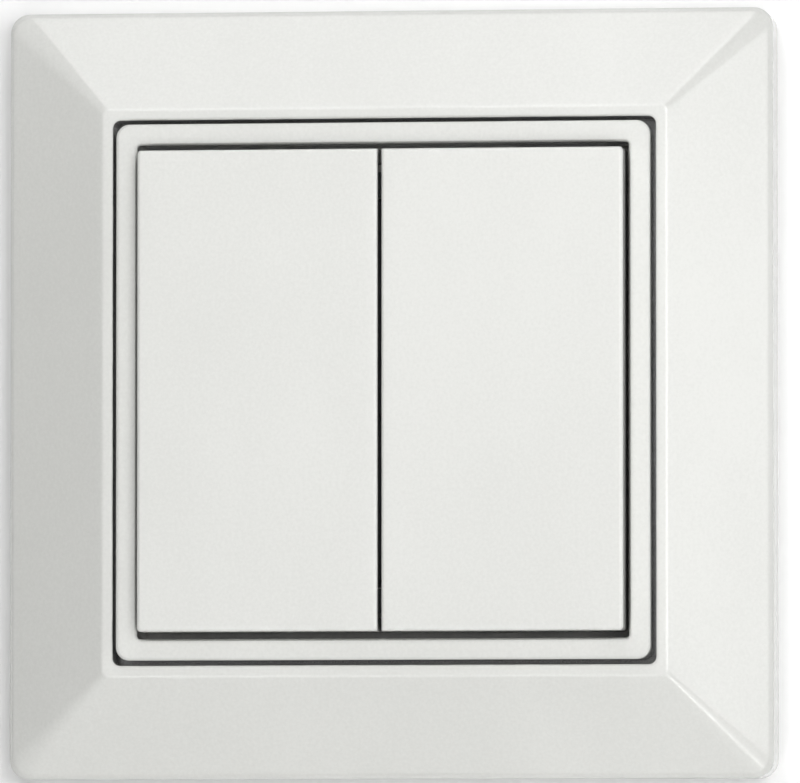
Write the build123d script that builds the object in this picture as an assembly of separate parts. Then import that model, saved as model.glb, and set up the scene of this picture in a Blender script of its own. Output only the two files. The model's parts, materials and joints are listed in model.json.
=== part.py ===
"""Battery-free double-rocker wall transmitter, every separate piece as its own solid.

Panel frame used for modelling: X to the right, Y up the wall, Z out of the wall into the room, zero at the
centre of the wall face. Each solid is turned once at the end, so that Z points up and the front faces -Y.
All sizes are in millimetres.
"""
import os
from math import asin, cos, degrees, hypot, radians, sin

from build123d import *

# Clearances shared by every fit
touch_gap = 0.05
seat_gap = 0.2
slip_gap = 0.3

# Transmitter module: everything round it follows from its side
module_side = 40.0
module_corner = 1.2
module_back = 0.8
module_split = 6.0
module_front = 11.5
module_wall = 1.3
module_floor = 1.0
module_roof = 1.0
cover_edge = 0.4
pocket_half = 3.6
pocket_wall = 0.8
pocket_floor = 0.8
pocket_floor_top = 9.6
clip_notch_width = 4.4
clip_notch_depth = 0.7
clip_notch_height = 1.6
clip_offset = 12.0

# Push bow round the module
bow_travel = 1.8
bow_low = 7.3
bow_thickness = 1.8
bow_arm = 1.5
bow_bar = 2.5
bow_corner = 1.2
bow_clearance = 0.4
bow_pad_width = 7.0
bow_pad_depth = 1.6
bow_pad_height = 0.3
tongue_width = 3.6
tongue_height = 1.6
tongue_grip = 1.0
slot_margin = 0.4

# Rockers
rocker_front = 15.0
rocker_split = 0.4
rocker_wall = 1.7
rocker_skirt = 1.35
rocker_skirt_end = 10.0
rocker_corner = 0.4
rocker_edge_radius = 0.25
rocker_tilt = 4.3
rocker_room = 0.7
rocker_end_gap = 0.7
rocker_side_gap = 0.36
push_rib_length = 5.0
rib_width = 1.0
web_height = 1.2

# Ring between the outer frame and the rockers
ring_width = 2.2
ring_corner = 1.4
ring_front = 12.5
ring_opening_corner = 0.35
ring_skirt = 1.05
ring_skirt_end = 5.6
ring_outer_edge = 0.15
ring_inner_edge = 0.2
leg_width = 6.0
leg_offset = 15.0
leg_end = 3.0
leg_root = 0.5
barb_depth = 0.6
barb_height = 1.0
barb_lead = 0.2
catch_wall = 1.3
catch_lip_height = 1.0

# Outer frame: side wall, slanted faces, flat rim and clamping ledge
reveal_gap = 0.52
rim_width = 1.13
face_width = 10.5
frame_corner = 2.0
frame_wall = 2.0
side_height = 6.0
crest_corner = 0.6
crest_height = 11.2
crest_radius = 0.35
shoulder_edge = 0.4
opening_corner = 0.8
clamp_height = 7.0
clamp_thickness = 1.5
rib_thickness = 1.2
rib_offset = 20.0
rib_foot = 0.4

# Mounting plate
plate_margin = 2.5
plate_corner = 3.0
plate_thickness = 2.0
plate_edge = 0.4
plate_lip = 0.8
plate_lip_width = 1.2
screw_spacing = 60.0
screw_hole_radius = 1.75
screw_head_radius = 3.0
ledge_reach = 3.2
stop_width = 3.0
stop_thickness = 1.0
hook_width = 3.6
hook_thickness = 1.0
hook_reach = 0.8
hook_drop = 1.4

# Pivot of the rockers on the module
pivot_height = 11.0
nub_radius = 1.0
nub_length = 2.2
ear_width = 5.2
clip_width = 4.4
clip_thickness = 1.4
clip_wrap = 0.6
clip_chamfer = 0.6
post_width = 1.6
post_length = 4.8
post_top = 12.2

# Circuit board and contacts
board_low = 7.9
board_thickness = 0.8
board_chamfer = 0.8
board_margin = 0.5
board_post_inset = 1.0
mat_margin = 2.5
nibble_inset_x = 4.4
nibble_inset_y = 3.3
component_inset = 5.8
board_post_side = 2.6
board_pin_radius = 0.6
mat_thickness = 0.6
nibble_top = 12.0
nibble_radius = 1.9
nibble_base_radius = 2.4
nibble_hole_radius = 2.7
nibble_seat = 0.9
nibble_ring_side = 7.2
pill_side = 2.2
pill_thickness = 0.3
push_pad_side = 2.2
chip_side = 5.0
chip_height = 0.9
crystal_width = 2.5
crystal_length = 3.2
crystal_height = 0.8
capacitor_width = 4.3
capacitor_length = 7.3
capacitor_height = 2.8
component_gap = 1.1
antenna_radius = 0.3

# Harvester: core, coil and swinging magnet
swing_height = 4.9
leg_thickness = 1.2
core_leg_width = 3.0
core_leg_centre = 7.0
core_bend = 1.0
tray_thickness = 0.5
tray_overhang = 2.5
tray_chamfer = 1.0
bobbin_room = 1.3
bearing_room = 3.4
pole_thickness = 0.8
pole_overhang = 0.5
pole_depth = 5.5
pole_grip = 3.5
magnet_half_length = 4.2
magnet_inset = 0.5
carrier_half_width = 3.6
carrier_strap = 0.5
carrier_chamfer = 0.5
carrier_back = 1.5
arm_wall = 0.5
arm_half_height = 0.9
swing_pin_radius = 0.8
bearing_thickness = 1.3
bearing_half_width = 2.4
bearing_rise = 1.8
cradle_depth = 2.6
cradle_wall = 0.8
leaf_thickness = 0.25
leaf_width = 3.0
leaf_tip_width = 2.0
leaf_seat = 6.0
bobbin_wall = 0.45
bobbin_flange = 0.7
bobbin_half_height = 2.5
bobbin_half_depth = 3.4
coil_half_height = 2.2
coil_half_depth = 3.1
coil_pin_side = 0.6
coil_pin_reach = 0.4

# Module, bow and rockers, from the inside out
module_half = module_side / 2
module_inner = module_half - module_wall
floor_top = module_back + module_floor
module_ceiling = module_front - module_roof
bow_inner = module_half + bow_clearance
bow_outer_x = bow_inner + bow_arm
bow_outer_y = bow_inner + bow_bar
bow_top = bow_low + bow_thickness
bow_pad_y = bow_inner + bow_bar / 2
rocker_skirt_inner = bow_outer_y + rocker_room
rocker_half = rocker_skirt_inner + rocker_skirt
rocker_under = rocker_front - rocker_wall
tilt_sine = sin(radians(rocker_tilt))

# Ring, frame and plate, from the inside out
ring_inner = rocker_half + rocker_end_gap
rocker_half_width = ring_inner - rocker_side_gap
rocker_side_inner = rocker_half_width - rocker_skirt
ring_leg_outer = ring_inner + ring_skirt
ring_half = ring_inner + ring_width
clamp_inner = ring_leg_outer + slip_gap
frame_inner = ring_half + reveal_gap
crest_half = frame_inner + rim_width
frame_half = crest_half + face_width
plate_half = frame_half - frame_wall - plate_margin
window_half = module_half + bow_clearance
barb_top = leg_end + barb_lead + barb_height

# Board and contacts
board_half = module_inner - board_margin
board_top = board_low + board_thickness
board_post = board_half - board_post_side / 2 - board_post_inset
board_pin_places = [(-board_post, -board_post), (board_post, board_post)]
mat_half = board_half - mat_margin
mat_top = board_top + mat_thickness
nibble_x = board_post - nibble_inset_x
nibble_y = board_post - nibble_inset_y
component_y = board_half - component_inset

# Swing of the magnet: the leaf spring's tip follows the bow's full stroke
leaf_tip = module_inner - seat_gap
swing_half_angle = degrees(asin(bow_travel / 2 / leaf_tip))
leg_edge = core_leg_centre + core_leg_width / 2
jaw_rise = leg_edge * sin(radians(swing_half_angle))
jaw_gap = leg_thickness * cos(radians(swing_half_angle)) + 2 * (jaw_rise + touch_gap)
pole_half_length = leg_edge + pole_overhang
bobbin_half = core_leg_centre - core_leg_width / 2 - slip_gap

# Harvester along the height of the module: coil at the bottom, magnet above it
core_back = -module_inner + bobbin_half_depth + bobbin_room
rear_bearing = core_back + bobbin_half_depth + bearing_room
pole_back = rear_bearing + bearing_thickness + slip_gap + carrier_back
core_tip = pole_back + pole_grip
pole_front = pole_back + pole_depth
leaf_centre = pole_front + arm_wall + leaf_width / 2
arm_end = leaf_centre + leaf_width / 2 + arm_wall
front_bearing = arm_end + slip_gap


def block(x_low, x_high, y_low, y_high, z_low, z_high):
    """Straight-sided block between three pairs of limits."""
    size = (x_high - x_low, y_high - y_low, z_high - z_low)
    return Pos((x_low + x_high) / 2, (y_low + y_high) / 2, (z_low + z_high) / 2) * Box(*size)


def centred_block(x, y, width, length, z_low, z_high):
    """Block centred on a point of the panel, between two heights."""
    return block(x - width / 2, x + width / 2, y - length / 2, y + length / 2, z_low, z_high)


def outline(half, corner, height):
    """Square outline at a height, its corners rounded unless the radius is zero."""
    square = RectangleRounded(2 * half, 2 * half, corner) if corner else Rectangle(2 * half, 2 * half)
    return Plane.XY.offset(height) * square


def slab(half, corner, low, high):
    """Square plate between two heights."""
    return extrude(outline(half, corner, low), high - low)


def taper(low_half, low_corner, low, high_half, high_corner, high):
    """Square body whose four faces slant from one outline to the other."""
    return loft([outline(low_half, low_corner, low), outline(high_half, high_corner, high)], ruled=True)


def pin(x, y, radius, low, high):
    """Round pin along the depth direction."""
    return Pos(x, y, (low + high) / 2) * Cylinder(radius, high - low)


def pin_along_x(x_low, x_high, radius, z):
    """Round pin along the width, level with the middle of the panel."""
    return Pos((x_low + x_high) / 2, 0, z) * Rot(0, 90, 0) * Cylinder(radius, x_high - x_low)


def pin_along_y(y_low, y_high, radius, z):
    """Round pin along the height, on the panel's middle line."""
    return Pos(0, (y_low + y_high) / 2, z) * Rot(90, 0, 0) * Cylinder(radius, y_high - y_low)


def edges_at(body, height, tolerance=0.001):
    """Edges that lie flat at one height."""
    def flat(edge):
        box = edge.bounding_box()
        return abs(box.min.Z - height) < tolerance and abs(box.max.Z - height) < tolerance
    return body.edges().filter_by(flat)


def reach_of(edge):
    """How far an edge's middle lies from the panel's middle lines."""
    middle = edge.center()
    return max(abs(middle.X), abs(middle.Y))


def four_turns(body):
    """The body copied on all four sides."""
    return [Rot(0, 0, 90 * turn) * body for turn in range(4)]


def four_corners(x, y):
    """The four mirrored places of a point."""
    return [(side_x * x, side_y * y) for side_x in (-1, 1) for side_y in (-1, 1)]


def both_sides(body):
    """The body and its mirror image across the panel's upright middle line."""
    return body + mirror(body, about=Plane.YZ)


def build_outer_frame():
    """Slanted square frame with a flat rim, hollow behind, and a clamping ledge in its opening."""
    cavity_half = frame_half - frame_wall
    inner_wall_half = frame_inner + frame_wall
    slope = (crest_height - side_height) / face_width
    cavity_low = side_height + frame_wall * (slope - hypot(1, slope))
    cavity_high = cavity_low + (cavity_half - inner_wall_half) * slope
    shoulder_low = side_height - shoulder_edge
    shoulder_high = side_height + shoulder_edge * slope
    shoulder_half = frame_half - shoulder_edge
    body = slab(frame_half, frame_corner, 0, shoulder_low)
    body += taper(frame_half, frame_corner, shoulder_low, shoulder_half, frame_corner, shoulder_high)
    body += taper(shoulder_half, frame_corner, shoulder_high, crest_half, crest_corner, crest_height)
    body = fillet(edges_at(body, crest_height), crest_radius)
    body -= slab(frame_inner, opening_corner, clamp_height, crest_height)
    cavity = slab(cavity_half, 0, 0, cavity_low)
    cavity += taper(cavity_half, 0, cavity_low, inner_wall_half, 0, cavity_high)
    cavity -= slab(inner_wall_half, 0, clamp_height - clamp_thickness, crest_height)
    body -= cavity
    body -= slab(clamp_inner, 0, 0, clamp_height)
    rib_inner = plate_half + slip_gap
    rib_outer = cavity_half + frame_wall / 4
    for offset in (-rib_offset, rib_offset):
        rib = block(rib_inner, rib_outer, offset - rib_thickness / 2, offset + rib_thickness / 2,
                    rib_foot, cavity_low + (cavity_half - rib_inner) * slope)
        for copy in four_turns(rib):
            body += copy
    return body


def build_intermediate_frame():
    """Ring that clamps the outer frame, with a skirt and eight snap legs."""
    body = slab(ring_half, ring_corner, clamp_height, ring_front)
    body += slab(ring_leg_outer, ring_corner - ring_width + ring_skirt, ring_skirt_end, clamp_height)
    body -= slab(ring_inner, ring_opening_corner, ring_skirt_end, ring_front)
    middle = (ring_inner + ring_half) / 2
    inner = edges_at(body, ring_front).filter_by(lambda edge: reach_of(edge) < middle)
    body = chamfer(inner, ring_inner_edge)
    outer = edges_at(body, ring_front).filter_by(lambda edge: reach_of(edge) > middle)
    body = chamfer(outer, ring_outer_edge)
    barb_outer = ring_leg_outer + barb_depth
    root = ring_skirt_end + leg_root
    profile = Polyline(
        (ring_inner, leg_end),
        (ring_leg_outer, leg_end),
        (barb_outer, barb_top - barb_lead),
        (barb_outer, barb_top),
        (ring_leg_outer, barb_top),
        (ring_leg_outer, root),
        (ring_inner, root),
        close=True,
    )
    leg = extrude(Plane.XZ * make_face(profile), leg_width / 2, both=True)
    for offset in (-leg_offset, leg_offset):
        for copy in four_turns(Pos(0, offset, 0) * leg):
            body += copy
    return body


def build_mounting_plate():
    """Wall plate with the module window, screw holes, ring catches, module hooks and rocker stops."""
    body = slab(plate_half, 0, 0, plate_thickness)
    body = chamfer(body.edges().filter_by(Axis.Z), plate_corner)
    body = chamfer(edges_at(body, plate_thickness), plate_edge)
    body += slab(window_half + plate_lip_width, 0, 0, plate_thickness + plate_lip)
    body -= slab(window_half, 0, 0, plate_thickness + plate_lip)
    ledge_low = window_half - ledge_reach
    ledge = block(ledge_low, window_half, ledge_low, window_half, 0, module_back)
    for copy in four_turns(ledge):
        body += copy
    sink = screw_head_radius - screw_hole_radius
    countersink = Pos(0, 0, (plate_thickness - sink) / 2) * Cone(screw_hole_radius, screw_head_radius, sink)
    for turn in range(4):
        place = Rot(0, 0, 90 * turn) * Pos(screw_spacing / 2, 0, plate_thickness / 2)
        body -= place * Cylinder(screw_hole_radius, plate_thickness)
        body -= place * countersink
    lip_low = barb_top + seat_gap
    lip_high = lip_low + catch_lip_height
    lip_inner = ring_leg_outer + seat_gap
    wall_inner = ring_leg_outer + barb_depth + slip_gap
    root = plate_thickness / 2
    profile = Polyline(
        (wall_inner, root),
        (wall_inner + catch_wall, root),
        (wall_inner + catch_wall, lip_high),
        (lip_inner + barb_lead, lip_high),
        (lip_inner, lip_high - 2 * barb_lead),
        (lip_inner, lip_low),
        (wall_inner, lip_low),
        close=True,
    )
    catch = extrude(Plane.XZ * make_face(profile), leg_width / 2 + slip_gap, both=True)
    for offset in (-leg_offset, leg_offset):
        for copy in four_turns(Pos(0, offset, 0) * catch):
            body += copy
    stop_near = rocker_skirt_inner + slip_gap / 2
    stop_far = stop_near + stop_thickness
    stop_top = rocker_skirt_end - stop_far * tilt_sine - seat_gap
    stop = centred_block(0, (stop_near + stop_far) / 2, stop_width, stop_thickness, root, stop_top)
    hook_near = module_half + slip_gap
    hook_far = hook_near + hook_thickness
    hook_low = module_split - hook_drop
    hook_profile = Polyline(
        (hook_near, root),
        (hook_far, root),
        (hook_far, hook_low + slip_gap + seat_gap),
        (hook_near - hook_reach, hook_low + slip_gap),
        (hook_near - hook_reach, hook_low),
        (hook_near, hook_low),
        close=True,
    )
    hook = extrude(Plane.YZ * make_face(hook_profile), hook_width / 2, both=True)
    for turn in (0, 180):
        for offset in (-clip_offset, clip_offset):
            place = Rot(0, 0, turn) * Pos(offset, 0, 0)
            body += place * stop
            body += place * hook
    return body


def side_slot(z_low, z_high):
    """Opening for the bow's tongues in both side walls of the module."""
    half = tongue_width / 2 + slip_gap
    return both_sides(block(module_inner, module_half, leaf_centre - half, leaf_centre + half, z_low, z_high))


def build_module_housing():
    """Rear half of the module: tray with board posts, side slots and clip notches."""
    body = slab(module_half, module_corner, module_back, module_split)
    body -= slab(module_inner, 0, floor_top, module_split)
    for x, y in four_corners(board_post, board_post):
        body += centred_block(x, y, board_post_side, board_post_side, floor_top, board_low)
    for x, y in board_pin_places:
        body += pin(x, y, board_pin_radius, board_low, board_top)
    body -= side_slot(swing_height - bow_travel / 2 - tongue_height / 2 - slot_margin, module_split)
    notch_low = module_split - clip_notch_height
    for x, y in four_corners(clip_offset, module_half - clip_notch_depth / 2):
        body -= centred_block(x, y, clip_notch_width, clip_notch_depth, notch_low, module_split)
    return body


def build_module_cover():
    """Front half of the module: contact holes, pivot nubs and the middle bearing post in its pocket."""
    body = slab(module_half, module_corner, module_split, module_front)
    body = chamfer(edges_at(body, module_front), cover_edge)
    body -= slab(module_inner, 0, module_split, module_ceiling)
    body += slab(pocket_half + pocket_wall, 0, pocket_floor_top - pocket_floor, module_front)
    body -= slab(pocket_half, 0, pocket_floor_top, module_front)
    body += centred_block(0, 0, post_width, 2 * pocket_half, pocket_floor_top, module_ceiling)
    body += centred_block(0, 0, post_width, post_length, module_ceiling, post_top)
    body += pin_along_x(-post_width / 2 - nub_length, post_width / 2 + nub_length, nub_radius, pivot_height)
    ear = block(module_inner, module_half, -ear_width / 2, ear_width / 2, module_ceiling, post_top)
    ear += pin_along_x(module_inner, module_half + nub_length, nub_radius, pivot_height)
    body += both_sides(ear)
    body -= side_slot(module_split, swing_height + bow_travel / 2 + tongue_height / 2 + slot_margin)
    for x, y in four_corners(nibble_x, nibble_y):
        body += centred_block(x, y, nibble_ring_side, nibble_ring_side, mat_top, module_ceiling)
        body -= pin(x, y, nibble_hole_radius, mat_top, module_front)
    return body


def build_contact_mat():
    """Soft sheet with four hollow domes."""
    body = slab(mat_half, 0, board_top, mat_top)
    body -= slab(pocket_half + pocket_wall + slip_gap, 0, board_top, mat_top)
    notch = board_post_side + 2 * slip_gap
    hollow = pill_side + 2 * slip_gap
    for x, y in four_corners(board_post, board_post):
        body -= centred_block(x, y, notch, notch, board_top, mat_top)
    dome = Cone(nibble_base_radius, nibble_radius, nibble_top - mat_top)
    for x, y in four_corners(nibble_x, nibble_y):
        body += Pos(x, y, (mat_top + nibble_top) / 2) * dome
        body -= centred_block(x, y, hollow, hollow, board_top, mat_top + nibble_seat)
    return body


def build_contact_pills():
    """Four conductive pads under the domes."""
    top = mat_top + nibble_seat
    return [centred_block(x, y, pill_side, pill_side, top - pill_thickness, top)
            for x, y in four_corners(nibble_x, nibble_y)]


def coil_pin_places():
    """Where the bobbin's two solder pins stand."""
    x = bobbin_half - bobbin_flange / 2
    y = core_back - bobbin_half_depth + bobbin_flange + coil_pin_side
    return [(-x, y), (x, y)]


def build_circuit_board():
    """Board with two holes for the posts' pins and two solder holes."""
    body = slab(board_half, 0, board_low, board_top)
    body = chamfer(body.edges().filter_by(Axis.Z), board_chamfer)
    for x, y in board_pin_places:
        body -= pin(x, y, board_pin_radius + touch_gap, board_low, board_top)
    hole = coil_pin_side + 4 * touch_gap
    for x, y in coil_pin_places():
        body -= centred_block(x, y, hole, hole, board_low, board_top)
    return body


def component(x, width, length, height):
    """Component that hangs under the upper part of the board."""
    return centred_block(x, component_y, width, length, board_low - height, board_low)


def build_radio_chip():
    """Square leadless package with one bevelled corner."""
    body = component(component_gap + chip_side / 2, chip_side, chip_side, chip_height)
    return chamfer(body.edges().filter_by(Axis.Z).sort_by(Axis.X)[0], chip_side / 8)


def build_clock_crystal():
    """Small crystal can with bevelled corners."""
    x = 2 * component_gap + chip_side + crystal_width / 2
    body = component(x, crystal_width, crystal_length, crystal_height)
    return chamfer(body.edges().filter_by(Axis.Z), crystal_width / 10)


def build_storage_capacitors():
    """Two moulded storage capacitors side by side."""
    bodies = []
    for place in (0, 1):
        x = -component_gap - capacitor_width / 2 - place * (capacitor_width + component_gap)
        body = component(x, capacitor_width, capacitor_length, capacitor_height)
        bodies.append(chamfer(body.edges().filter_by(Axis.Y).sort_by(Axis.Z)[:2], capacitor_width / 8))
    return bodies


def build_antenna_wire():
    """Wire loop bent round the upper half of the board's underside, its ends turned up into the board."""
    level = board_low - antenna_radius - touch_gap
    side = board_post - board_post_side / 2 - slip_gap - antenna_radius
    top = board_half - 2 * antenna_radius
    low = component_y - capacitor_length / 2
    path = Polyline(
        (-side, low, level),
        (-side, top, level),
        (side, top, level),
        (side, low, level),
    )
    section = Plane(origin=(-side, low, level), z_dir=(0, 1, 0)) * Circle(antenna_radius)
    body = sweep(section, path=path, transition=Transition.RIGHT)
    for x in (-side, side):
        body += pin(x, low, antenna_radius, level, board_low)
    return body


def build_energy_bow():
    """Loop round the module with push pads, and tongues that reach through the side slots."""
    body = block(-bow_outer_x, bow_outer_x, -bow_outer_y, bow_outer_y, bow_low, bow_top)
    body = chamfer(body.edges().filter_by(Axis.Z), bow_corner)
    body -= slab(bow_inner, 0, bow_low, bow_top)
    for x, y in four_corners(nibble_x, bow_pad_y):
        body += centred_block(x, y, bow_pad_width, bow_pad_depth, bow_top, bow_top + bow_pad_height)
    middle = swing_height + bow_travel / 2
    tongue_low = middle - tongue_height / 2
    y_low = leaf_centre - tongue_width / 2
    y_high = leaf_centre + tongue_width / 2
    groove = leaf_thickness / 2 + seat_gap
    jaw_end = leaf_tip - tongue_grip
    tongue = block(bow_inner, bow_outer_x, y_low, y_high, tongue_low, bow_low)
    tongue += block(jaw_end, bow_inner, y_low, y_high, tongue_low, tongue_low + tongue_height)
    tongue -= block(jaw_end, leaf_tip + seat_gap, y_low, y_high, middle - groove, middle + groove)
    return body + both_sides(tongue)


def build_rocker():
    """Left rocker: flat key with skirts, two snap clips, contact pads and push ribs."""
    right = -rocker_split / 2
    body = block(-rocker_half_width, right, -rocker_half, rocker_half, rocker_skirt_end, rocker_front)
    body = fillet(body.edges().filter_by(Axis.Z).sort_by(Axis.X)[:2], rocker_corner)
    body = fillet(edges_at(body, rocker_front), rocker_edge_radius)
    body -= block(-rocker_side_inner, right, -rocker_skirt_inner, rocker_skirt_inner,
                  rocker_skirt_end, rocker_under)
    for near in (-module_half - bow_clearance, -post_width / 2 - seat_gap):
        far = near - clip_thickness
        clip = block(far, near, -clip_width / 2, clip_width / 2, pivot_height - clip_wrap, rocker_under)
        body += chamfer(clip.edges().filter_by(Axis.X).sort_by(Axis.Z)[:2], clip_chamfer)
        body -= pin_along_x(far, near, nub_radius + touch_gap, pivot_height)
    web_end = -module_half - bow_clearance - clip_thickness
    body += block(-rocker_side_inner, web_end, -rib_width / 2, rib_width / 2,
                  rocker_under - web_height, rocker_under)
    for y in (-nibble_y, nibble_y):
        body += centred_block(-nibble_x, y, push_pad_side, push_pad_side, nibble_top + seat_gap, rocker_under)
    rib_low = bow_top + bow_pad_height + seat_gap + (bow_pad_y + rib_width / 2) * tilt_sine
    for y in (-bow_pad_y, bow_pad_y):
        body += centred_block(-nibble_x, y, push_rib_length, rib_width, rib_low, rocker_under)
    return body


def build_harvester_frame():
    """Tray with cradles for the core's legs and two bearing posts for the swinging magnet."""
    tray_top = floor_top + tray_thickness
    core_low = swing_height - leg_thickness / 2
    core_high = core_low + leg_thickness
    tray_half = leg_edge + tray_overhang
    tray_end = front_bearing + bearing_thickness + slip_gap
    body = block(-tray_half, tray_half, core_back - bobbin_half_depth - slip_gap, tray_end, floor_top, tray_top)
    body = chamfer(body.edges().filter_by(Axis.Z), tray_chamfer)
    cradle_y = core_back + bobbin_half_depth + seat_gap + cradle_depth / 2
    seat_width = core_leg_width + 2 * touch_gap
    for x in (-core_leg_centre, core_leg_centre):
        body += centred_block(x, cradle_y, seat_width + 2 * cradle_wall, cradle_depth, tray_top, core_high)
        body -= centred_block(x, cradle_y, seat_width, cradle_depth, core_low, core_high)
    for low in (rear_bearing, front_bearing):
        high = low + bearing_thickness
        post = block(-bearing_half_width, bearing_half_width, low, high, tray_top, swing_height + bearing_rise)
        body += chamfer(post.edges().filter_by(Axis.Y).sort_by(Axis.Z)[-2:], bearing_half_width / 2)
        body -= pin_along_y(low, high, swing_pin_radius + touch_gap, swing_height)
    return body


def build_iron_core():
    """Flat iron core bent to a U."""
    low = swing_height - leg_thickness / 2
    high = low + leg_thickness
    back = core_back - core_leg_width / 2
    body = block(-leg_edge, leg_edge, back, back + core_leg_width, low, high)
    for x in (-core_leg_centre, core_leg_centre):
        body += block(x - core_leg_width / 2, x + core_leg_width / 2, back, core_tip, low, high)
    return fillet(body.edges().filter_by(Axis.Z).sort_by(Axis.Y)[:2], core_bend)


def round_core(growth, half_length):
    """Block round the core's back bar, larger than the bar by the growth all round."""
    half_y = core_leg_width / 2 + growth
    half_z = leg_thickness / 2 + growth
    return block(-half_length, half_length, core_back - half_y, core_back + half_y,
                 swing_height - half_z, swing_height + half_z)


def build_coil_bobbin():
    """Spool round the back bar, with a flange at each end."""
    body = round_core(touch_gap + bobbin_wall, bobbin_half)
    flange = block(bobbin_half - bobbin_flange, bobbin_half, core_back - bobbin_half_depth,
                   core_back + bobbin_half_depth, swing_height - bobbin_half_height,
                   swing_height + bobbin_half_height)
    body += both_sides(chamfer(flange.edges().filter_by(Axis.X), bobbin_flange))
    return body - round_core(touch_gap, bobbin_half)


def build_coil_winding():
    """Wound copper between the flanges."""
    reach = bobbin_half - bobbin_flange
    body = block(-reach, reach, core_back - coil_half_depth, core_back + coil_half_depth,
                 swing_height - coil_half_height, swing_height + coil_half_height)
    body = fillet(body.edges().filter_by(Axis.X), coil_half_height / 2)
    return body - round_core(touch_gap + bobbin_wall, reach)


def build_coil_pins():
    """Two solder pins from the bobbin flanges up through the board."""
    low = swing_height + bobbin_half_height
    high = board_top + coil_pin_reach
    return [centred_block(x, y, coil_pin_side, coil_pin_side, low, high) for x, y in coil_pin_places()]


def build_magnet():
    """Block magnet between the pole plates."""
    body = block(-magnet_half_length, magnet_half_length, pole_back + magnet_inset, pole_front - magnet_inset,
                 swing_height - jaw_gap / 2, swing_height + jaw_gap / 2)
    return chamfer(body.edges().filter_by(Axis.Z), magnet_inset / 2)


def build_pole_plate(side):
    """Flat pole plate in front of the magnet or behind it; its ends are the jaws round the core's legs."""
    near = swing_height + side * jaw_gap / 2
    far = near + side * pole_thickness
    body = block(-pole_half_length, pole_half_length, pole_back, pole_front, min(near, far), max(near, far))
    return chamfer(body.edges().filter_by(Axis.Z), pole_overhang)


def build_magnet_carrier():
    """Holder of the magnet, with pivot pins fore and aft and an arm for the leaf spring."""
    reach = jaw_gap / 2 + pole_thickness
    low = swing_height - reach
    high = swing_height + reach
    front = block(-carrier_half_width, carrier_half_width, pole_front, arm_end, low, high)
    back = block(-carrier_half_width, carrier_half_width, pole_back - carrier_back, pole_back, low, high)
    body = chamfer(front.edges().filter_by(Axis.Y), carrier_chamfer)
    body += chamfer(back.edges().filter_by(Axis.Y), carrier_chamfer)
    body += block(0, 2 * leaf_seat, pole_front, arm_end,
                  swing_height - arm_half_height, swing_height + arm_half_height)
    strap_half = carrier_half_width - carrier_chamfer
    for side in (-1, 1):
        strap_middle = swing_height + side * (reach + carrier_strap / 2)
        body += block(-strap_half, strap_half, pole_back - carrier_back / 2, pole_front + carrier_strap,
                      strap_middle - carrier_strap / 2, strap_middle + carrier_strap / 2)
    body += pin_along_y(rear_bearing, pole_back, swing_pin_radius, swing_height)
    body += pin_along_y(pole_front, front_bearing + bearing_thickness, swing_pin_radius, swing_height)
    body -= block(leaf_seat, 2 * leaf_seat, leaf_centre - leaf_width / 2 - touch_gap,
                  leaf_centre + leaf_width / 2 + touch_gap,
                  swing_height - leaf_thickness / 2, swing_height + leaf_thickness / 2)
    return body


def build_leaf_spring():
    """Spring strip from the carrier's arm to the bow's tongue, narrower at its tip."""
    half = leaf_width / 2
    tip_half = leaf_tip_width / 2
    neck = 2 * leaf_seat
    shape = Polyline(
        (leaf_seat, leaf_centre - half),
        (neck, leaf_centre - half),
        (neck + leaf_width, leaf_centre - tip_half),
        (leaf_tip, leaf_centre - tip_half),
        (leaf_tip, leaf_centre + tip_half),
        (neck + leaf_width, leaf_centre + tip_half),
        (neck, leaf_centre + half),
        (leaf_seat, leaf_centre + half),
        close=True,
    )
    return extrude(Plane.XY.offset(swing_height - leaf_thickness / 2) * make_face(shape), leaf_thickness)


def at_rest(body):
    """Swing the magnet group to its rest side, its right end raised towards the room."""
    return body.rotate(Axis((0, 0, swing_height), (0, 1, 0)), -swing_half_angle)


left_rocker = build_rocker()
pieces = {
    "outer_frame": build_outer_frame(),
    "intermediate_frame": build_intermediate_frame(),
    "left_rocker": left_rocker,
    "right_rocker": mirror(left_rocker, about=Plane.YZ),
    "mounting_plate": build_mounting_plate(),
    "module_housing": build_module_housing(),
    "module_cover": build_module_cover(),
    "contact_mat": build_contact_mat(),
    "contact_pills": build_contact_pills(),
    "circuit_board": build_circuit_board(),
    "radio_chip": build_radio_chip(),
    "clock_crystal": build_clock_crystal(),
    "storage_capacitors": build_storage_capacitors(),
    "antenna_wire": build_antenna_wire(),
    "energy_bow": build_energy_bow(),
    "harvester_frame": build_harvester_frame(),
    "iron_core": build_iron_core(),
    "coil_bobbin": build_coil_bobbin(),
    "coil_winding": build_coil_winding(),
    "coil_pins": build_coil_pins(),
    "magnet": at_rest(build_magnet()),
    "upper_pole_plate": at_rest(build_pole_plate(1)),
    "lower_pole_plate": at_rest(build_pole_plate(-1)),
    "magnet_carrier": at_rest(build_magnet_carrier()),
    "leaf_spring": at_rest(build_leaf_spring()),
}

os.makedirs("parts", exist_ok=True)
for name, body in pieces.items():
    solids = body if isinstance(body, list) else [body]
    turned = [Rot(90, 0, 0) * solid for solid in solids]
    shape = turned[0] if len(turned) == 1 else Compound(children=turned)
    export_step(shape, f"parts/{name}.step")
print(f"{len(pieces)} pieces, side {2 * frame_half:.2f}, swing {2 * swing_half_angle:.4f} degrees")
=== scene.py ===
"""Looks of the wall-mounted wireless light switch: materials, wall, floor, lights and camera."""
import json
import math

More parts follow.
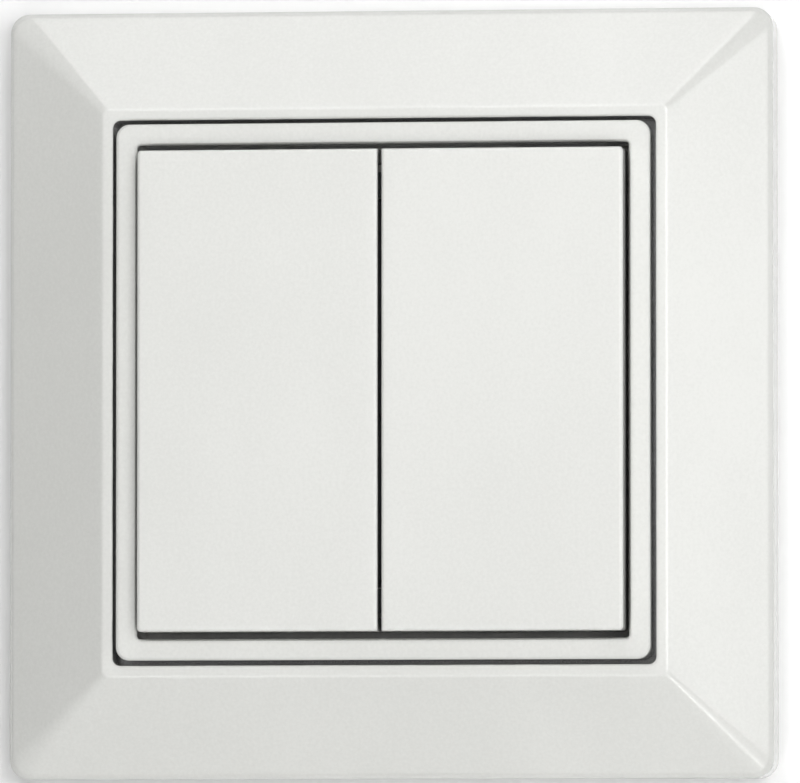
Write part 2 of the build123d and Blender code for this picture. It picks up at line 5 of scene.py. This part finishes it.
import bpy
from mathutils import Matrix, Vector

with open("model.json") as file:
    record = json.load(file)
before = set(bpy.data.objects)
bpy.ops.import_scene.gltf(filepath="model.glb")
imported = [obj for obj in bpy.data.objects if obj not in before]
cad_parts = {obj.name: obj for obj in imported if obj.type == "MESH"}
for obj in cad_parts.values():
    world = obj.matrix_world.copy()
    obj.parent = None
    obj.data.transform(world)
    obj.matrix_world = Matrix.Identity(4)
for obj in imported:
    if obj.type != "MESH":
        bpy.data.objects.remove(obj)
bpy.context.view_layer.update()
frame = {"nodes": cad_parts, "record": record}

MM = 0.001


class Value:
    """A shader output that takes part in Python arithmetic."""

    def __init__(self, graph, output):
        self.graph = graph
        self.output = output

    def math(self, operation, *others):
        return self.graph.node("ShaderNodeMath", {"operation": operation}, [self, *others])

    def __add__(self, other):
        return self.math("ADD", other)

    __radd__ = __add__

    def __mul__(self, other):
        return self.math("MULTIPLY", other)

    __rmul__ = __mul__


class Graph:
    """One material and its node tree."""

    def __init__(self, name):
        self.material = bpy.data.materials.new(name)
        self.material.use_nodes = True
        self.tree = self.material.node_tree
        self.tree.nodes.clear()
        self.place = self.node("ShaderNodeTexCoord", pick="Object")

    def node(self, kind, settings=None, inputs=None, pick=0):
        """Add a node, set its properties and inputs, and return one of its outputs."""
        made = self.tree.nodes.new(kind)
        for key, value in (settings or {}).items():
            setattr(made, key, value)
        pairs = enumerate(inputs) if isinstance(inputs, list) else (inputs or {}).items()
        for key, value in pairs:
            if isinstance(value, Value):
                self.tree.links.new(value.output, made.inputs[key])
            elif value is not None:
                made.inputs[key].default_value = value
        return Value(self, made.outputs[pick]) if len(made.outputs) else None

    def noise(self, size, detail=3.0, roughness=0.5, stretch=(1, 1, 1)):
        """Soft noise from 0 to 1 whose blobs are about as large as the size, in metres."""
        vector = self.node("ShaderNodeMapping", inputs={"Vector": self.place, "Scale": stretch})
        return self.node("ShaderNodeTexNoise", inputs={
            "Vector": vector, "Scale": 1 / size, "Detail": detail, "Roughness": roughness})

    def cells(self, size, feature="F1"):
        """Distance to the nearest of many scattered points, about one size apart."""
        return self.node("ShaderNodeTexVoronoi", {"feature": feature}, {
            "Vector": self.place, "Scale": 1 / size})

    def band(self, value, source, target=(0.0, 1.0)):
        """Map the source range of values softly onto the target range, held at both ends."""
        return self.node("ShaderNodeMapRange", {"interpolation_type": "SMOOTHSTEP"}, {
            "Value": value, "From Min": source[0], "From Max": source[1],
            "To Min": target[0], "To Max": target[1]})

    def blend(self, factor, first, second):
        """Colour between two colours."""
        return self.node("ShaderNodeMix", {"data_type": "RGBA"}, {0: factor, 6: first, 7: second}, pick=2)

    def bump(self, height, depth, normal=None):
        """Relief whose full height is the depth, in metres."""
        return self.node("ShaderNodeBump", inputs={
            "Strength": 1.0, "Distance": depth, "Height": height, "Normal": normal})

    def surface(self, colour, roughness, normal=None, **fixed):
        """Principled surface wired to the material's output."""
        inputs = {"Base Color": colour, "Roughness": roughness, "Normal": normal}
        for key, value in fixed.items():
            inputs[key.replace("_", " ")] = value
        shader = self.node("ShaderNodeBsdfPrincipled", inputs=inputs)
        self.node("ShaderNodeOutputMaterial", inputs={"Surface": shader})
        return self.material


def rgb(red, green, blue):
    """Opaque colour in linear light."""
    return (red, green, blue, 1.0)


def gloss_plastic(name, light, dark):
    """Polished moulded plastic: flow shades, soft edges, a slight ripple, hairlines, pits, and painted shade
    darkening the gaps.
    """
    # Near-black colour used as painted shade in gaps and crevices.
    painted_gap_shade = rgb(0.03, 0.03, 0.027)
    gap_reach = 2.5 * MM
    edge_radius = 0.5 * MM
    g = Graph(name)
    flow = g.noise(26 * MM, detail=3.0, roughness=0.55, stretch=(1, 1, 0.6))
    grain = g.noise(0.35 * MM, detail=4.0, roughness=0.6)
    unshaded_tone = g.blend(g.band(flow * 0.5 + grain * 0.5, (0.3, 0.7)), dark, light)
    openness = g.node("ShaderNodeAmbientOcclusion", {"samples": 4}, {"Distance": gap_reach}, pick="AO")
    # Painted shade: where ambient occlusion finds surfaces close by, the colour turns near-black, so gaps
    # look shaded.
    colour = g.blend(g.band(openness, (0.14, 0.42)), painted_gap_shade, unshaded_tone)
    hair = g.noise(0.5 * MM, detail=2.0, roughness=0.5, stretch=(1, 1, 0.03))
    smear = g.noise(9 * MM, detail=4.0, roughness=0.6)
    roughness = g.band(smear, (0.2, 0.85), (0.155, 0.19)) + g.band(hair, (0.66, 0.76), (0.0, 0.02))
    soft_edge = g.node("ShaderNodeBevel", {"samples": 4}, {"Radius": edge_radius})
    ripple = g.bump(g.noise(5 * MM, detail=2.0, roughness=0.4), 0.006 * MM, soft_edge)
    peel = g.bump(g.noise(0.7 * MM, detail=3.0, roughness=0.5), 0.0022 * MM, ripple)
    pits = g.bump(g.band(g.cells(2.6 * MM), (0.0, 0.035)), 0.004 * MM, peel)
    return g.surface(colour, roughness, pits, IOR=1.54, Coat_Weight=0.3, Coat_Roughness=0.08)


def grained_plastic(name, light, dark, rough, grain=0.22, depth=0.02):
    """Matt plastic from a spark-eroded tool: small rounded pits over a soft shade; grain and depth in mm."""
    g = Graph(name)
    shade = g.noise(7 * MM, detail=4.0, roughness=0.6)
    pitted = g.cells(grain * MM, "SMOOTH_F1")
    fine = g.noise(grain * 0.4 * MM, detail=3.0, roughness=0.6)
    colour = g.blend(g.band(shade * 0.6 + pitted * 0.4, (0.2, 0.75)), dark, light)
    roughness = g.band(fine * 0.5 + shade * 0.5, (0.3, 0.7), (rough - 0.08, rough + 0.1))
    relief = g.bump(pitted * 0.7 + fine * 0.3, depth * MM)
    return g.surface(colour, roughness, relief, IOR=1.5)


def metal(name, light, dark, rough, stretch=(1, 1, 1), grain=0.3, depth=0.003):
    """Plated, rolled or drawn metal: fine lines, clouds of tarnish and small pits; grain and depth in mm."""
    g = Graph(name)
    lines = g.noise(grain * MM, detail=4.0, roughness=0.65, stretch=stretch)
    cloud = g.noise(4 * MM, detail=4.0, roughness=0.6)
    colour = g.blend(g.band(cloud * 0.6 + lines * 0.4, (0.3, 0.7)), dark, light)
    roughness = g.band(cloud * 0.5 + lines * 0.5, (0.3, 0.7), (rough - 0.1, rough + 0.12))
    relief = g.bump(lines, depth * MM, g.bump(g.cells(0.8 * MM), 0.002 * MM))
    return g.surface(colour, roughness, relief, Metallic=1.0)


def wound_copper(name):
    """Enamelled wire wound round the bar's long axis: close round turns, with painted shade in the grooves
    and a painted highlight on each turn's crown.
    """
    painted_groove_shade = rgb(0.24, 0.07, 0.02)
    painted_crown_highlight = rgb(0.66, 0.25, 0.09)
    wire_pitch = 0.12 * MM
    g = Graph(name)
    along_bar = g.node("ShaderNodeSeparateXYZ", inputs=[g.place])
    wander = g.noise(1.2 * MM, detail=2.0, roughness=0.5) * 0.5
    turns = (along_bar * (2 * math.pi / wire_pitch) + wander).math("SINE") * 0.5 + 0.5
    shade = g.noise(2.5 * MM, detail=3.0, roughness=0.6)
    # Painted shade between the turns and a painted highlight on their crowns.
    colour = g.blend(g.band(turns * 0.7 + shade * 0.3, (0.15, 0.8)), painted_groove_shade, painted_crown_highlight)
    roughness = g.band(shade, (0.3, 0.7), (0.24, 0.36))
    relief = g.bump(turns, 0.05 * MM)
    return g.surface(colour, roughness, relief, Metallic=0.9, Coat_Weight=0.6, Coat_Roughness=0.08)


def circuit_board(name):
    """Green solder resist with paler tracks on a fine square grid and bare gold rings here and there."""
    resist = rgb(0.01, 0.09, 0.035)
    track_green = rgb(0.02, 0.17, 0.06)
    gold = rgb(0.75, 0.55, 0.2)
    g = Graph(name)
    coarse = g.node("ShaderNodeTexVoronoi", {"distance": "CHEBYCHEV"}, {
        "Vector": g.place, "Scale": 1 / (3.2 * MM), "Randomness": 0.7})
    tracks = g.band((coarse * 7).math("FRACT"), (0.34, 0.42))
    pads = g.band(g.cells(2.4 * MM), (0.1, 0.13), (1.0, 0.0))
    weave = g.noise(0.25 * MM, detail=2.0, roughness=0.5)
    colour = g.blend(pads, g.blend(tracks, track_green, resist), gold)
    roughness = g.band(weave, (0.3, 0.7), (0.24, 0.36))
    relief = g.bump(pads * 0.6 + tracks * -0.3 + weave * 0.1, 0.03 * MM)
    return g.surface(colour, roughness, relief, Metallic=pads)


looks = {
    "white_gloss_plastic": (gloss_plastic, {
        "light": rgb(0.742, 0.746, 0.720), "dark": rgb(0.680, 0.684, 0.658)}),
    "white_plate_plastic": (grained_plastic, {
        "light": rgb(0.72, 0.72, 0.69), "dark": rgb(0.64, 0.64, 0.61), "rough": 0.5}),
    "dark_module_plastic": (grained_plastic, {
        "light": rgb(0.05, 0.05, 0.053), "dark": rgb(0.028, 0.028, 0.03), "rough": 0.55}),
    "grey_bow_plastic": (grained_plastic, {
        "light": rgb(0.28, 0.29, 0.3), "dark": rgb(0.2, 0.21, 0.22), "rough": 0.45,
        "grain": 0.16, "depth": 0.01}),
    "grey_silicone": (grained_plastic, {
        "light": rgb(0.26, 0.27, 0.28), "dark": rgb(0.2, 0.2, 0.21), "rough": 0.68,
        "grain": 0.1, "depth": 0.006}),
    "carbon_rubber": (grained_plastic, {
        "light": rgb(0.025, 0.025, 0.025), "dark": rgb(0.012, 0.012, 0.012), "rough": 0.7,
        "grain": 0.08, "depth": 0.008}),
    "green_board": (circuit_board, {}),
    "black_epoxy": (grained_plastic, {
        "light": rgb(0.02, 0.02, 0.021), "dark": rgb(0.011, 0.011, 0.012), "rough": 0.42,
        "grain": 0.06, "depth": 0.006}),
    "nickel_can": (metal, {
        "light": rgb(0.7, 0.68, 0.63), "dark": rgb(0.55, 0.53, 0.49), "rough": 0.26}),
    "ochre_epoxy": (grained_plastic, {
        "light": rgb(0.66, 0.4, 0.07), "dark": rgb(0.5, 0.28, 0.045), "rough": 0.4,
        "grain": 0.09, "depth": 0.006}),
    "brass_wire": (metal, {
        "light": rgb(0.79, 0.6, 0.28), "dark": rgb(0.6, 0.43, 0.18), "rough": 0.28,
        "stretch": (0.05, 1, 1), "grain": 0.15}),
    "black_bobbin_plastic": (grained_plastic, {
        "light": rgb(0.035, 0.035, 0.035), "dark": rgb(0.018, 0.018, 0.018), "rough": 0.4}),
    "enamelled_copper": (wound_copper, {}),
    "soft_iron": (metal, {
        "light": rgb(0.42, 0.41, 0.4), "dark": rgb(0.27, 0.26, 0.255), "rough": 0.42,
        "stretch": (0.06, 1, 1), "grain": 0.25, "depth": 0.006}),
    "spring_steel": (metal, {
        "light": rgb(0.56, 0.57, 0.58), "dark": rgb(0.43, 0.44, 0.46), "rough": 0.25,
        "stretch": (0.04, 1, 1), "grain": 0.2}),
}
finishes = {slot: make(slot, **settings) for slot, (make, settings) in looks.items()}
node_slots = {part["node"]: part["material_slot"] for part in frame["record"]["subparts"]}
for node, obj in frame["nodes"].items():
    obj.data.materials.clear()
    obj.data.materials.append(finishes[node_slots[node]])


def plane(name, size_x, size_y, centre, turn=(0, 0, 0)):
    """Flat rectangle, sized along its own axes before it is turned."""
    half_x, half_y = size_x / 2, size_y / 2
    mesh = bpy.data.meshes.new(name)
    corners = [(-half_x, -half_y, 0), (half_x, -half_y, 0), (half_x, half_y, 0), (-half_x, half_y, 0)]
    mesh.from_pydata(corners, [], [(0, 1, 2, 3)])
    made = bpy.data.objects.new(name, mesh)
    made.location = centre
    made.rotation_euler = turn
    bpy.context.scene.collection.objects.link(made)
    return made


def wall_paint():
    """White painted wall with a faint roller grain, seen through from behind."""
    g = Graph("wall_paint")
    grain = g.noise(1.5 * MM, detail=4.0, roughness=0.6)
    colour = g.blend(grain, rgb(0.93, 0.93, 0.93), rgb(0.95, 0.95, 0.95))
    paint = g.node("ShaderNodeBsdfDiffuse", inputs={"Color": colour, "Normal": g.bump(grain, 0.01 * MM)})
    clear = g.node("ShaderNodeBsdfTransparent")
    behind = g.node("ShaderNodeNewGeometry", pick="Backfacing")
    both = g.node("ShaderNodeMixShader", inputs=[behind, paint, clear])
    g.node("ShaderNodeOutputMaterial", inputs={"Surface": both})
    return g.material


def floor_paint():
    """Pale matt floor."""
    g = Graph("floor_paint")
    grain = g.noise(3 * MM, detail=4.0, roughness=0.6)
    colour = g.blend(grain, rgb(0.8, 0.8, 0.79), rgb(0.84, 0.84, 0.83))
    return g.surface(colour, g.band(grain, (0.3, 0.7), (0.6, 0.7)), g.bump(grain, 0.01 * MM))


wall_width = 3.0
wall_height = 2.0
wall_middle = 0.7
wall_gap = 0.05 * MM
floor_side = 6.0
floor_level = -0.3
upright = (math.radians(90), 0, 0)
wall = plane("wall", wall_width, wall_height, (0, wall_gap, wall_middle), upright)
wall.data.materials.append(wall_paint())
wall.visible_shadow = False
floor = plane("floor", floor_side, floor_side, (0, 0, floor_level))
floor.data.materials.append(floor_paint())


def area_light(name, place, size, power):
    """Rectangular soft light, aimed at the middle of the wall face."""
    data = bpy.data.lights.new(name, "AREA")
    data.shape = "RECTANGLE"
    data.size, data.size_y = size
    data.energy = power
    made = bpy.data.objects.new(name, data)
    made.location = place
    direction = Vector((0, 0, 0)) - Vector(place)
    made.rotation_euler = direction.to_track_quat("-Z", "Y").to_euler()
    bpy.context.scene.collection.objects.link(made)


# Place and size in metres, power in watts. Lights below the floor would give nothing.
lights = {
    "front": ((0.1, -1.5, 0.1), (1.0, 1.0), 4.1),
    "front_near": ((0.15, -0.45, 0.05), (0.2, 0.2), 0.844),
    "strip_up": ((-0.14, -1.0, 0.52), (0.18, 0.06), 1.0),
    "strip_down": ((-0.07, -0.5, -0.28), (0.1, 0.03), 0.27),
    "lower_right": ((0.229, -0.507, -0.27), (0.07, 0.05), 0.16),
    "near_lower_right": ((0.15, -0.14, -0.12), (0.1, 0.1), 0.024),
    "near_left_top": ((-0.15, -0.12, 0.13), (0.1, 0.1), 0.012),
    "near_top": ((0.0, -0.12, 0.17), (0.14, 0.08), 0.082),
    "near_right": ((0.3, -0.25, 0.0), (0.1, 0.2), 0.125),
    "upper_near": ((-0.02, -0.3, 0.3), (0.2, 0.1), 0.112),
    "behind": ((-0.6, 1.1, 0.5), (0.6, 0.6), 6.0),
}
for name, (place, size, power) in lights.items():
    area_light(name, place, size, power)

world = bpy.data.worlds.new("studio")
world.use_nodes = True
background = world.node_tree.nodes["Background"]
background.inputs["Color"].default_value = rgb(1, 1, 1)
background.inputs["Strength"].default_value = 0.01
bpy.context.scene.world = world

yaw = math.radians(7.0)
pitch = math.radians(-3.0)
distance = 1.2
target = Vector((1.06 * MM, -6 * MM, 0.24 * MM))
away = Vector((math.sin(yaw) * math.cos(pitch), -math.cos(yaw) * math.cos(pitch), math.sin(pitch)))
camera_data = bpy.data.cameras.new("camera")
camera_data.sensor_width = 36.0
camera_data.lens = 519.0
camera_data.clip_start = 0.1
camera_data.clip_end = 20.0
camera = bpy.data.objects.new("camera", camera_data)
camera.location = target + away * distance
camera.rotation_euler = (-away).to_track_quat("-Z", "Y").to_euler()
bpy.context.scene.collection.objects.link(camera)
bpy.context.scene.camera = camera

scene = bpy.context.scene
scene.view_settings.view_transform = "Standard"
scene.view_settings.look = "None"
